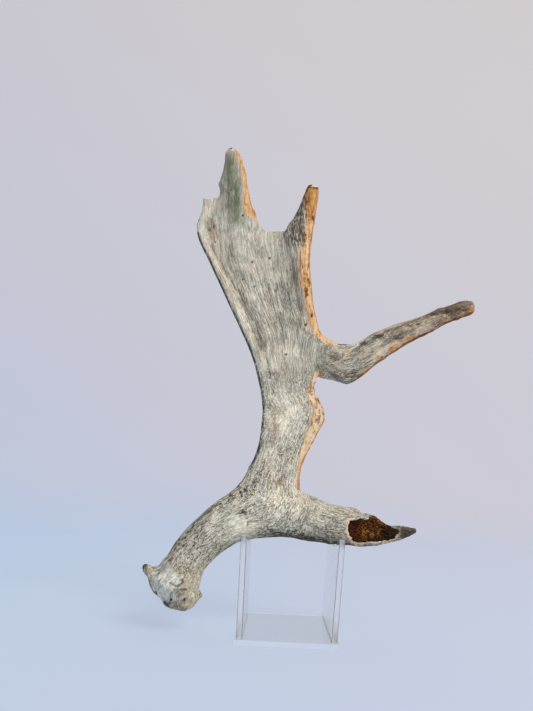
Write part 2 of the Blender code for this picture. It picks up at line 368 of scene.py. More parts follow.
def flowOver(skin):
    # coordinates that run with the bone: along it, across it and through it, in millimetres
    x, y, z = skin.points.T
    onBrow = ease(x, 8, 36) * (z < antler["browTop"])
    sideLow = ease(z + 0.5 * (x - 42), 294, 302)
    sideHigh = 1 - ease(z - 0.45 * (np.maximum(x, 50) - 50), 343, 358)
    onSide = ease(x, 20, 50) * sideLow * sideHigh
    branch = np.maximum(onBrow, onSide)
    trunkAlong, trunkAcross = alongGuide(skin.points, antler["trunkGuide"])
    onTrunk = (branch < 0.02) & (z < 506) & (x < 60)
    left, right = edgesOf(trunkAlong, trunkAcross, onTrunk, 1)
    fanEnd = np.median(trunkAlong[(np.abs(z - 452) < 2) & (np.abs(x + 53) < 15)])
    wideLeft, wideRight = edgesOf(trunkAlong, trunkAcross, onTrunk, 9, fanEnd)
    across = (trunkAcross - (wideLeft + wideRight) / 2) / (wideRight - wideLeft)
    browAlong, browAcross = alongGuide(skin.points, antler["browGuide"])
    sideAlong, sideAcross = alongGuide(skin.points, antler["sideGuide"])
    _, bottom = edgesOf(sideAlong, sideAcross, onSide > 0.98, 1)
    upper = z > 231  # the side tine, and not the brow tine
    limbAlong = np.where(upper, sideAlong + 500, browAlong + 800)  # far apart, so their patterns differ
    limbAcross = np.where(upper, sideAcross, browAcross)
    return {
        "trunk": np.stack([trunkAlong, across * 60, y], axis=1),
        "palm": np.stack([trunkAlong * 0.45, across * 135, y], axis=1),
        "limb": np.stack([limbAlong, limbAcross * 1.2, y * 1.2], axis=1),
        "branch": branch,
        "onPalm": ease(z, 262, 330),
        "onSide": onSide,
        "fromLeft": trunkAcross - left,
        "fromRight": right - trunkAcross,
        "fromBottom": bottom - sideAcross,
    }


def inFlow(flow, size, seed, octaves=1):
    # noise drawn out along the bone, run smoothly from the stem into the palm and the branches
    stem, palm, limb = (roughAt(flow[name], size, seed + k, octaves) for k, name in enumerate(flowNames))
    trunk = stem + (palm - stem) * flow["onPalm"]
    return trunk + (limb - trunk) * flow["branch"]


# the marks that the finish reads
markNames = ("tan", "amber", "green", "stain", "gain", "pits", "crease", "hollow", "rust", "soot", "lip",
             "brown", "collar", "onSide", "calm")


def shapedAntler():
    skin = Skin(meltedAntler())
    skin.points = skin.softened(antler["softening"])
    print("antler skin:", len(skin.points), "points")
    flow = flowOver(skin)
    tug(skin)
    marks = boneMarks(skin, flow)
    skin.push(marks.depth)
    skin.points = skin.softened(1)
    skin.write()
    for name in markNames:
        skin.keep(name, getattr(marks, name))
    for name in flowNames:
        skin.keep(name + "Flow", flow[name] * mm)
    for name in ("onPalm", "branch"):
        skin.keep(name, flow[name])
    only(skin.obj)
    bpy.ops.object.shade_smooth()
    print("antler marks:", len(markNames))
    return skin.obj


# small corrections of the outline: place (x, z), how far they reach, and the move in x and z
tugs = [
    (-107, 548, 7, -2.0, 0.5), (-111, 532, 8, 0.0, 5.0), (-126, 527, 7, -0.5, 1.5),
    (-50, 489, 9, 3.5, 1.0), (-60, 512, 8, 1.5, 0.0),
    (-163, 66, 9, -2.5, 2.5), (-147, 30, 12, 3.0, 2.0), (-99, 29, 10, -3.0, 0.5), (-95, 40, 6, 2.0, -0.5),
    (-140, 72, 6, -1.5, 1.5),
    (86, 139, 6, 0.0, -3.5), (101, 133, 6, 0.0, 1.5), (94, 101, 4, 0.0, 1.5),
    (42, 258, 6, 1.5, -1.5), (28, 282, 6, 1.2, 0.0), (66, 288, 5, 0.0, -1.5), (174, 381, 6, -0.5, 1.8),
    (158, 366, 6, 0.0, -1.2), (112, 354, 6, 0.0, 1.0), (124, 330, 7, 0.0, -1.0), (196, 373, 6, 0.0, -1.2),
]


def tug(skin):
    x, _, z = skin.points.T
    for atX, atZ, reach, dx, dz in tugs:
        pull = np.exp(-((x - atX) ** 2 + (z - atZ) ** 2) / (reach * 0.7) ** 2)
        skin.points[:, 0] += dx * pull
        skin.points[:, 2] += dz * pull


places = {
    # outlines on the front, as (x, z)
    "gnawed": [
        (33, 303), (30, 305), (26, 304), (23, 300), (20, 288), (17, 280), (17, 275), (21, 263), (24, 254),
        (23, 247), (19, 235), (13, 217), (10, 209), (9, 199), (8, 179), (8, 160), (30, 160), (60, 200),
        (46, 262), (33, 280), (31, 294),
    ],
    "rightBand": [
        (-3, 560), (-2, 541), (3, 525), (6, 512), (7, 494), (6, 477), (2, 461), (1, 444), (3, 424),
        (9, 396), (16, 363), (24, 349), (34, 341), (50, 336), (56, 345), (44, 400), (44, 560),
    ],
    "leftTineTan": [
        (-83, 602), (-88, 590), (-79, 566), (-75, 544), (-75, 529), (-74, 509), (-62, 497), (-50, 484),
        (-40, 478), (-34, 500), (-48, 530), (-58, 556), (-68, 600),
    ],
    "leftTineGreen": [
        (-99, 586), (-88, 586), (-84, 561), (-78, 539), (-74, 516), (-74, 496), (-87, 494), (-97, 515),
        (-103, 540), (-104, 570),
    ],
    "flake": [(-121, 503), (-116, 502), (-110, 491), (-105, 476), (-108, 469), (-114, 475), (-119, 486)],
    "tineDarkPatch": [
        (1, 536), (5, 514), (5, 500), (7, 490), (5, 472), (0, 458), (-9, 471), (-21, 481), (-17, 493),
        (-6, 512),
    ],
    "hollow": [
        (70, 128), (76, 127), (83, 130), (89, 128), (100, 138), (117, 126), (130, 119), (127, 111),
        (116, 105), (106, 106), (87, 104), (80, 102), (74, 105), (68, 117),
    ],
    "collar": [
        (-152, 74), (-138, 78), (-124, 62), (-116, 50), (-122, 38), (-132, 30), (-146, 34), (-154, 52),
    ],
    # ovals, here and below, as (x, z, radius in x, radius in z)
    "brokenTip": (16.5, 546, 5, 2.4),
    "amberTip": (218, 393, 6, 6),
    # holes, painted black for the shade inside them, as (x, z, radius)
    "pits": [
        (-37, 451, 1.3), (-59, 445, 1.3), (-55, 412, 1.1), (-70, 421, 1.1), (-11, 323, 1.2),
        (-74, 505, 1.3), (19, 375, 1.3), (12, 363, 1.3), (31, 240, 0.8), (-128, 36, 1.5), (-113, 37, 1.5),
        (-132, 30, 1.4), (-135, 33, 1.0), (-129, 32, 0.9), (-137, 29, 1.1), (-133, 26, 1.2),
        (-59, 155, 1.5), (-54, 157, 1.5), (-52, 158, 1.0), (-57, 151, 1.0),
    ],
    # lines, as the points they run through: slits, painted dark for the shade inside them
    "slits": [
        [(12, 399), (12, 410)], [(14, 412), (13, 422)], [(-48, 117), (-48, 122)], [(-17, 134), (-15, 141)],
        [(-129, 54), (-122, 51), (-117, 53), (-116, 57)], [(-122, 44), (-118, 48), (-112, 47)],
    ],
    # furrows down the palm's left rim, darkened with painted shade
    "furrows": [
        [(-112, 463), (-103, 447), (-89, 425), (-79, 408)],
        [(-75, 406), (-68, 391), (-62, 379), (-50, 363), (-44, 344), (-42, 329)], [(-69, 375), (-61, 363)],
        [(-51, 365), (-44, 345), (-35, 318), (-32, 309), (-30, 292)], [(-66, 386), (-64, 376)],
        [(-90, 464), (-86, 451)], [(-61, 471), (-56, 457)], [(-37, 340), (-36, 321)],
        [(-17, 395), (-14, 379)], [(-27, 416), (-27, 406)],
    ],
    # pale raised threads
    "welts": [
        [(-85, 446), (-83, 423), (-75, 401), (-64, 379), (-60, 367)], [(-63, 400), (-59, 382), (-52, 363)],
        [(-50, 393), (-49, 371)], [(-119, 468), (-108, 448), (-93, 424), (-79, 398)],
        [(-29, 321), (-29, 301)], [(-26, 318), (-26, 301)], [(-80, 475), (-80, 460), (-76, 446)],
        [(-76, 532), (-69, 533)], [(-76, 529), (-69, 530)], [(-75, 526), (-69, 527)],
        [(-92, 581), (-93, 574)],
    ],
    # thin orange lines
    "rustyLines": [
        [(-73, 387), (-69, 372)], [(-54, 348), (-49, 337), (-45, 327)], [(-41, 327), (-37, 308)],
        [(-28, 477), (-29, 473)], [(32, 305), (43, 312), (68, 321)], [(54, 314), (67, 329)],
    ],
    # brown creases in the bare bone
    "creases": [
        [(28, 305), (24, 298), (23, 290), (21, 282), (20, 277)],
        [(24, 277), (27, 271), (32, 265), (37, 260), (36, 252)], [(28, 295), (27, 289), (26, 282)],
        [(-2, 488), (-2, 471), (0, 454), (2, 437)], [(12, 426), (13, 412)],
        [(13, 401), (14, 390), (17, 383)], [(18, 379), (19, 373)],
        [(-1, 481), (-2, 465), (3, 445), (7, 429), (10, 409), (11, 396)],
        [(13, 445), (12, 430), (15, 418), (13, 404)], [(15, 484), (15, 474)], [(4, 520), (6, 503)],
    ],
    # dirty blotches
    "blotches": [
        (-165, 67, 4, 5), (-97, 39, 4, 4), (100, 347, 13, 5), (112, 353, 6, 4), (137, 361, 6, 4),
        (164, 376, 7, 5), (182, 380, 12, 4), (70, 300, 12, 6), (84, 338, 9, 4), (-52, 131, 8, 6),
        (-146, 40, 5, 5), (168, 366, 5, 3), (42, 259, 3, 2), (-93, 595, 3, 2), (5, 524, 4, 9),
        (-96, 44, 5, 5), (-137, 30, 4, 3), (122, 345, 8, 3), (148, 362, 5, 3), (-80, 585, 2, 3),
        (17, 505, 2, 5),
    ],
    # bare tan spots
    "tanSpots": [
        (-156, 62, 6, 9), (-109, 30, 10, 6), (-104, 36, 6, 6), (217, 392, 6, 8), (150, 352, 12, 5),
        (112, 330, 16, 6), (88, 306, 12, 5), (182, 372, 10, 5), (66, 300, 9, 4), (60, 297, 5, 2),
    ],
    # rusty brown tinges
    "tinges": [
        (-22, 237, 6, 24), (-29, 320, 4, 16), (-45, 330, 4, 16), (-70, 508, 5, 10), (-6, 486, 6, 12),
        (-1, 440, 5, 26), (-20, 168, 12, 7), (88, 150, 5, 5), (-14, 300, 5, 8),
    ],
    # lighter and darker areas, with how much: partly the bone's own tone, partly painted light and shade
    "areas": [
        (-60, 114, 23, 13, 0.46), (-3, 150, 50, 34, 0.29), (-6, 250, 30, 38, 0.36),
        (-20, 376, 30, 30, -0.1), (-108, 92, 24, 20, -0.06), (-104, 50, 14, 18, 0.36),
        (196, 380, 26, 16, -0.42), (152, 357, 14, 6, 0.2), (75, 124, 44, 20, -0.03), (20, 110, 40, 9, -0.1),
        (-40, 425, 44, 30, -0.05), (-30, 326, 24, 26, 0.12), (-136, 52, 20, 24, 0.02),
        (18, 245, 12, 40, -0.12), (-70, 500, 40, 26, 0.12), (-70, 125, 20, 10, 0.12),
        (100, 335, 60, 30, -0.06), (143, 117, 14, 10, -0.72), (118, 342, 10, 7, 0.16),
        (100, 333, 24, 14, 0.2), (112, 104, 26, 4, 0.3), (24, 180, 20, 26, 0.08),
    ],
}


def ovalGap(flat, x, z, wide, high):
    # how far out of an oval each point lies: 0 at its middle, 1 at its edge
    return np.hypot((flat[:, 0] - x) / wide, (flat[:, 1] - z) / high)


def within(flat, name):
    # distance in from the named outline, negative outside it
    outline = np.asarray(places[name], float)
    crossed = np.zeros(len(flat), bool)
    for (x0, z0), (x1, z1) in zip(outline, np.roll(outline, -1, axis=0)):
        spans = (z0 > flat[:, 1]) != (z1 > flat[:, 1])
        crossed ^= spans & (flat[:, 0] < x0 + (flat[:, 1] - z0) * (x1 - x0) / (z1 - z0 if z1 != z0 else 1))
    return np.where(crossed, 1, -1) * toLine(flat, outline, True)


def covered(m, name, ragged, core, edge):
    # 1 on the named lines or in the cores of the named ovals, 0 beyond their edges
    found = np.zeros(len(m.points))
    for shape in places[name]:
        gap = toLine(m.flat, shape) if isinstance(shape, list) else ovalGap(m.flat, *shape)
        found = np.maximum(found, 1 - ease(gap + ragged, core, edge))
    return found


# heights and depths of the marks, in millimetres
relief = {
    "swell": 0.55,
    "smallSwell": 0.28,
    "grooves": 0.42,
    "fine": 0.26,
    "finest": 0.22,
    "furrow": 0.55,
    "welt": 0.3,
    "bevel": 1.7,  # the gnawed bevel
    "bevelRise": 1.5,  # how far it comes back up at its outer edge
    "teeth": 1.0,
    "ragged": 1.2,
    "bareLumps": 0.35,
    "crease": 0.5,
    "hollow": 0.8,
    "sponge": 1.7,
    "flake": 0.9,
    "pit": 0.8,  # for each millimetre of its radius
    "slit": 0.5,
    "collar": 0.5,
    "burrLumps": 0.5,
}


def survey(skin, flow):
    # m carries what the marks are worked out from, and the layers that they add to
    points = skin.points
    normals = skin.normals()
    m = SimpleNamespace(skin=skin, flow=flow, points=points, normals=normals, flat=points[:, [0, 2]])
    m.x, m.y, m.z = points.T
    m.front = ease(-normals[:, 1], -0.15, 0.35)
    m.forward = ease(-normals[:, 1], -0.75, -0.2)  # also takes in the edges, but not the back
    m.wobble = roughAt(points, 12, 3)  # these three make the borders and surfaces uneven
    m.crumbs = roughAt(points, 3.4, 4, 2)
    m.lumps = roughAt(points, 5.2, 43, 2)
    m.branch = flow["branch"]
    m.trunkOnly = 1 - m.branch
    m.onSide = flow["onSide"]
    m.onPalm = flow["onPalm"] * m.trunkOnly
    m.lowDown = m.z < antler["browTop"]  # true on the burr, the beam and the brow tine
    m.fromLeft = flow["fromLeft"]
    m.fromRight = np.maximum(flow["fromRight"], 0)
    m.fromBottom = flow["fromBottom"]
    for layer in ("depth", "shade", "lip", "stain", "crease", "pits"):
        setattr(m, layer, np.zeros(len(points)))
    return m


def grainRelief(m):
    # low swells, long grooves and two fine grains that run with the bone
    swell = relief["swell"] * noiseAt(m.points, 24, 1) + relief["smallSwell"] * noiseAt(m.points, 10, 2)
    m.grooves = np.maximum(0, 1 - 5 * np.abs(inFlow(m.flow, (46, 6, 7), 11)))
    fine = relief["fine"] * inFlow(m.flow, (18, 3.3, 3.4), 23)
    finest = relief["finest"] * inFlow(m.flow, (8, 3.0, 3.1), 29)
    m.depth += swell * (1 - 0.45 * m.onPalm + 0.6 * m.onSide) - relief["grooves"] * m.grooves + fine + finest


def leftRim(m):
    # the palm's rolled left rim, with furrows and raised threads running into it; a painted highlight runs
    # along the rim and painted shade down the furrows
    onRim = m.trunkOnly * ease(m.z, 285, 330) * (1 - ease(m.z, 500, 525))
    inner = 13 + 2.5 * m.wobble
    m.paleRim = onRim * ease(m.fromLeft, 1.5, 4) * (1 - ease(m.fromLeft, inner - 2, inner + 1))
    furrow = covered(m, "furrows", 0.5 * m.crumbs, 0.2, 2.4) * m.front
    m.depth -= relief["furrow"] * furrow
    m.shade += 0.1 * m.paleRim - 0.34 * furrow
    for line in places["welts"]:
        welt = (1 - ease(toLine(m.flat, line) + 0.4 * m.crumbs, 0.2, 1.7)) * m.front
        m.depth += relief["welt"] * welt
        m.lip = np.maximum(m.lip, 0.42 * welt)


def gnawedBevel(m):
    # the bevel gnawed down the right of the stem, most ragged in its upper half
    m.inGnaw = within(m.flat, "gnawed") + 0.8 * m.crumbs
    m.gnawed = ease(m.inGnaw, -0.5, 0.6) * m.forward
    toEdge = m.inGnaw / (np.maximum(m.inGnaw, 0) + m.fromRight + 0.5)
    ragged = ease(m.z, 222, 236) * (1 - ease(m.z, 304, 312))
    along, across, _ = m.flow["trunk"].T
    teeth = np.abs(noiseAt(np.stack([along, across / 3, m.y / 4], axis=1), 2.6, 41))
    cut = relief["bevelRise"] * ease(toEdge, 0.45, 0.9) - relief["bevel"] - relief["teeth"] * teeth
    m.depth += m.gnawed * (cut + relief["ragged"] * m.lumps * ragged)
    broken = ease(roughAt(m.points, (2.8, 2.8, 4.4), 47, 2), -0.1, 0.35)
    m.crease = np.maximum(m.crease, 0.72 * m.gnawed * (0.25 + 0.75 * ragged) * broken)


def bareEdges(m):
    # the palm's right edge and its tine, the left tine's right side, and the side tine's underside
    m.inBand = within(m.flat, "rightBand") + m.wobble + 0.5 * m.crumbs
    loose = ease(m.z, 480, 520)  # on the tine, the bare bone fades into the dark patch
    m.band = ease(m.inBand, -0.9 - 5 * loose, 1.1 + 4.5 * loose) * m.forward
    m.inTineTan = within(m.flat, "leftTineTan") + m.wobble + 0.5 * m.crumbs
    turnedRight = m.skin.softened(4, ease(m.normals[:, 0], 0.05, 0.7) * (m.x < -33) * ease(m.z, 480, 500))
    onLeftTine = 0.76 * ease(m.inTineTan, -9, 5) * ease(m.z, 486, 512)
    m.tineTan = np.maximum(onLeftTine, 0.9 * turnedRight) * m.forward
    underside = 1 - ease(m.fromBottom + 5 * m.wobble + 2 * m.crumbs, 3, 9)
    m.sideTan = m.onSide * ease(m.x, 60, 80) * underside * m.forward
    m.sideLine = m.onSide * ease(m.x, 58, 74) * (1 - ease(m.fromBottom + m.crumbs, 0.6, 3.2)) * m.forward
    m.depth += (m.band + m.sideTan) * relief["bareLumps"] * m.lumps
    creases = covered(m, "creases", 0.9 * m.crumbs, 0.1, 1.4) * m.forward
    m.depth -= relief["crease"] * creases
    m.crease = np.maximum.reduce([m.crease, creases, 1.25 * m.sideLine])


def brokenHollow(m):
    # where the brow tine broke open: spongy, rusty at its left, and painted near black with shade at its
    # right and along its foot
    deep = within(m.flat, "hollow") + 1.3 * m.crumbs
    m.hollow = ease(deep, -0.6, 0.7) * ease(-m.normals[:, 1], -0.5, 0.1)
    sponge = np.abs(roughAt(m.points, (3.4, 2.6, 2.6), 51, 2))
    m.depth -= m.hollow * (relief["hollow"] + relief["sponge"] * sponge)
    rim = (1 - ease(np.abs(deep + 1.6), 0.8, 2.8 + m.wobble)) * m.front
    rim *= (1 - 0.6 * ease(m.x, 82, 92)) * (1 - ease(m.x + m.z - 110, 104, 130))
    m.lip = np.maximum(m.lip, rim * np.maximum(1 - ease(m.x, 76, 84), 1 - ease(m.z, 108, 114)))
    leftEnd = 1 - ease(m.x + 0.35 * (m.z - 115) + 5 * m.wobble, 78, 90)
    m.rust = m.hollow * np.maximum(leftEnd, 1 - ease(deep, 0.5, 2.5))
    rightEnd = ease(m.x - 0.9 * (m.z - 118) + 6 * m.wobble, 104, 118)
    foot = ease(113 - m.z + 3 * m.wobble, 2, 6) * ease(m.x + 3 * m.wobble, 82, 88)
    m.soot = m.hollow * np.maximum(rightEnd, foot)


def scars(m):
    # the flake scar, pits and slits painted dark with their shade, and the right tine's broken tip with its
    # dark ring
    m.flake = ease(within(m.flat, "flake") + 1.2 * m.crumbs, -0.8, 0.8) * m.front
    m.depth -= relief["flake"] * m.flake
    for atX, atZ, radius in places["pits"]:
        gap = ovalGap(m.flat, atX, atZ, radius, radius * 1.2) * (1 + 0.35 * m.crumbs)
        m.pits = np.maximum(m.pits, (1 - ease(gap, 0.7, 1.45)) * m.front)
        m.depth -= (1 - ease(gap, 0, 1.2)) * m.front * radius * relief["pit"]
    for line in places["slits"]:
        gap = toLine(m.flat, line) + 0.4 * m.crumbs
        m.pits = np.maximum(m.pits, 0.75 * (1 - ease(gap, 0.3, 1.3)) * m.front)
        m.depth -= relief["slit"] * (1 - ease(gap, 0.2, 1.5)) * m.front
    tipGap = ovalGap(m.flat, *places["brokenTip"]) + 0.25 * m.crumbs
    ring = ease(tipGap, 0.7, 1.0) * (1 - ease(tipGap, 1.3, 2.5)) * ease(m.z, 536, 541)
    m.stain = np.maximum(m.stain, 0.85 * ring)
    m.lip = np.maximum(m.lip, 0.9 * (1 - ease(tipGap, 0.5, 1.0)))


def burrCollar(m):
    # a smooth swirled collar that wears down the relief made so far, and the burr's rough knobs
    m.collar = ease(within(m.flat, "collar") + 2.0 * m.wobble, -2, 2)
    turned = np.stack([m.x * 0.5 + m.z * 0.86, m.x * 0.86 - m.z * 0.5, m.y], axis=1)
    m.swirl = noiseAt(turned + 3.5 * roughAt(m.points, 14, 61)[:, None], (20, 3.2, 9), 62)
    m.burr = (1 - ease(m.z - 0.25 * m.x, 88, 108)) * (1 - m.collar)
    m.depth = m.depth * (1 - 0.6 * m.collar)
    m.depth += relief["collar"] * m.collar * m.swirl + relief["burrLumps"] * m.burr * m.lumps


def lightAndDark(m):
    # 1 leaves the grey ground as it is, less darkens it and more lightens it; along with tone, it paints
    # shade and light in furrows and grooves, on the rolled rim, beside the bare band and in the listed areas
    m.gain = 1 + m.shade + 0.05 * m.wobble + 0.12 * m.paleRim + 0.3 * m.collar * m.swirl
    m.gain += 0.09 * noiseAt(m.points, 11, 75) * m.trunkOnly
    m.gain += 0.06 * noiseAt(m.points, 5.5, 76) * (1 - m.collar)
    m.gain += 0.15 * inFlow(m.flow, (70, 11, 20), 71) * m.onPalm
    m.gain += 0.34 * inFlow(m.flow, (26, 6, 8), 73, 2) * m.onSide
    for *oval, much in places["areas"]:
        m.gain += much * np.exp(-ovalGap(m.flat, *oval) ** 2)
    # painted shade: the long grooves are darkened
    m.gain -= 0.14 * np.clip(m.grooves, 0, 1) * (1 - m.collar)
    # painted light: the palm's slope just left of the bare band is lightened
    m.besideBand = np.exp(-((m.inBand + 4 + 2 * m.wobble) / 4.5) ** 2)
    m.besideBand *= ease(m.z, 372, 410) * m.front * m.trunkOnly
    m.gain += 0.13 * m.besideBand - 0.2 * m.tineTan


def shadeAndDirt(m):
    # painted shade on edges turned away to the left and under the beam and brow tine; darker at the right
    # tine's foot, on its left side and along the side tine's bottom edge; dark dirt at the brow tip, in
    # blotches and on the flake
    upLeft = ease(m.z, 210, 150)  # down the beam, the shaded edge faces up to the left
    facing = -m.normals[:, 0] * (1 - 0.3 * upLeft) + m.normals[:, 2] * 0.7 * upLeft
    # painted shade: edges turned to the left are darkened
    leftShade = ease(facing, 0.45, 0.85) * (1 - 0.6 * ease(facing, 0.88, 1)) * m.trunkOnly
    leftShade *= 1 - 0.45 * upLeft
    leftShade *= np.clip(0.86 + 0.5 * m.crumbs, 0, 1) * (1 - 0.6 * ease(m.z, 500, 520))
    leftShade *= 1 - ease(m.fromLeft, 8, 16) * ease(m.z, 230, 300)
    # painted shade: surfaces that face down are darkened
    under = ease(-m.normals[:, 2] + 0.12 * m.crumbs, 0.44, 0.95)
    shadeUnderBrow = under * m.lowDown * ease(m.x, -62, -10) * (1 - 0.55 * ease(m.x, 62, 84))
    tineFoot = ease(within(m.flat, "tineDarkPatch") + 6 * m.wobble, -12, 9) * m.front
    tineLeft = ease(m.z, 494, 514) * (1 - ease(m.x + 0.12 * (m.z - 505) + 5 * m.wobble, 7, 26))
    tineLeft *= (m.x > -20) * m.front
    browTip = ease(m.x + 2 * m.wobble, 124, 134) * m.lowDown
    sideFoot = m.onSide * ease(m.x, 50, 80) * (1 - ease(m.fromBottom + m.crumbs, 0.4, 2.2))
    blotches = covered(m, "blotches", 0.45 * m.wobble, 0.1, 1.5) * m.forward
    m.stain = np.maximum.reduce([
        m.stain, 0.9 * leftShade, 0.84 * shadeUnderBrow, 0.62 * tineFoot, 0.66 * tineLeft, 0.5 * browTip,
        0.45 * sideFoot, (0.8 - 0.1 * m.onSide) * blotches, 0.5 * m.flake * ease(m.crumbs, -0.1, 0.5)])


def bareBone(m):
    # where tan bone shows through, and how amber it is
    rustyLines = covered(m, "rustyLines", 1.5 * m.crumbs, 0.2, 2.4) * m.front
    tanSpots = covered(m, "tanSpots", 0.4 * m.wobble + 0.3 * m.crumbs, 0.2, 1.3) * m.forward
    m.tan = np.maximum.reduce([
        0.55 * rustyLines, 0.58 * tanSpots, m.gnawed, m.band, 0.92 * m.tineTan, 0.8 * m.sideTan,
        0.7 * m.sideLine, 0.34 * m.flake])
    rightLine = 1 - ease(m.fromRight + 0.8 * m.crumbs, 1.0, 3.4)
    bandLine = np.exp(-((m.inBand - 0.5) / 1.4) ** 2) * m.forward
    gnawLine = np.exp(-((m.inGnaw - 0.6) / 1.0) ** 2)
    onTine = ease(m.z, 486, 525) * (0.25 + 0.6 * ease(m.inBand + 5 * m.wobble, 5, 19))
    lower = 0.35 + 0.65 * ease(m.z, 338, 372)  # the orange fades out where the band meets the side tine
    m.amber = np.maximum.reduce([
        m.band * onTine,
        m.band * lower * np.maximum(0.36, 0.75 * np.maximum(rightLine, bandLine)),
        m.gnawed * np.maximum(0.6 * gnawLine, 0.55 * rightLine),
        m.sideTan * (0.45 + 0.3 * ease(m.x, 140, 180)),
        m.tineTan * np.maximum(0.6, 0.85 * ease(m.inTineTan, 5, 10)),
        1 - ease(ovalGap(m.flat, *places["amberTip"]), 0.3, 1)])


def tints(m):
    # the green of the left tine, brown tinges, and where the grain shows less
    m.green = ease(within(m.flat, "leftTineGreen") + 3 * m.wobble, -9, 8) * m.front
    tinges = covered(m, "tinges", 0.5 * m.wobble, 0.2, 1.3) * m.front
    brokenTop = ease(m.z, 542, 546) * (m.x > 0) * ease(m.normals[:, 2], 0.3, 0.7)
    sideEnd = m.onSide * (0.6 * ease(m.x, 70, 150) + 0.7 * ease(m.x, 168, 192))
    browTip = ease(m.x + 2 * m.wobble, 126, 133) * m.lowDown
    m.brown = np.maximum.reduce([
        0.55 * tinges, 0.3 * m.band, 0.85 * m.besideBand, 0.8 * brokenTop, sideEnd, 0.55 * m.burr,
        0.9 * m.flake, 0.75 * browTip])
    m.calm = np.maximum.reduce([
        0.5 * m.collar, 0.42 * m.trunkOnly * ease(m.z, 385, 455), 0.17 * m.trunkOnly * ease(m.z, 150, 200),
        0.2 * m.branch * m.lowDown])


def boneMarks(skin, flow):
    # relief first, because the colours lie where it is
    m = survey(skin, flow)
    relieved = (grainRelief, leftRim, gnawedBevel, bareEdges, brokenHollow, scars, burrCollar)
    coloured = (lightAndDark, shadeAndDirt, bareBone, tints)
    for work in relieved + coloured:
        work(m)
    for layer in ("amber", "stain", "lip", "brown"):
        setattr(m, layer, np.clip(getattr(m, layer), 0, 1))
    return m


bone = {
    # weathered ground
    "pale": (0.73, 0.67, 0.53),
    "grey": (0.46, 0.425, 0.335),
    "warm": (0.70, 0.54, 0.37),
    "moss": (0.42, 0.43, 0.34),
    "umber": (0.15, 0.12, 0.088),
    "fleck": (0.065, 0.056, 0.042),
    "thread": (0.90, 0.85, 0.72),
    "collar": (0.56, 0.585, 0.535),
    # bare bone
    "cream": (0.84, 0.67, 0.45),
    "tan": (0.70, 0.37, 0.14),
    "amber": (0.50, 0.20, 0.035),
    "russet": (0.17, 0.065, 0.022),
    # stains, the darkest of which also paints shade, and the hollow's inside, with painted shade for its
    # pores, its dark end and the pits
    "brown": (0.24, 0.14, 0.07),
    "green": (0.12, 0.135, 0.075),
    "stain": (0.045, 0.036, 0.025),
    "rust": (0.17, 0.026, 0.004),
    "gold": (0.34, 0.13, 0.018),
    "poreShade": (0.018, 0.005, 0.002),
    "soot": (0.008, 0.004, 0.002),
    # patterns that are even all round, in lumps to the metre
    "hueScale": 33,
    "cloudScale": 48,
    "patchScale": 170,
    "speckScale": 700,
    "spongeScale": 700,
    "spongeLumpScale": 260,
    # patterns drawn out with the grain: lumps to the metre along it and across it, detail, roughness
    "wideStreaks": (24, 130, 3.0, 0.68),
    "longStreaks": (32, 330, 3.0, 0.6),
    "threads": (60, 470, 2.0, 0.6),
    "highlights": (110, 800, 1.0, 0.55),
    "dashes": (200, 640, 2.0, 0.6),
    "dots": (480, 1000, 1.0, 0.55),
    # surface
    "roughness": 0.62,
    "bumpStrength": 0.7,
    "bumpHeight": 0.0007,
    "specular": 0.1,
}


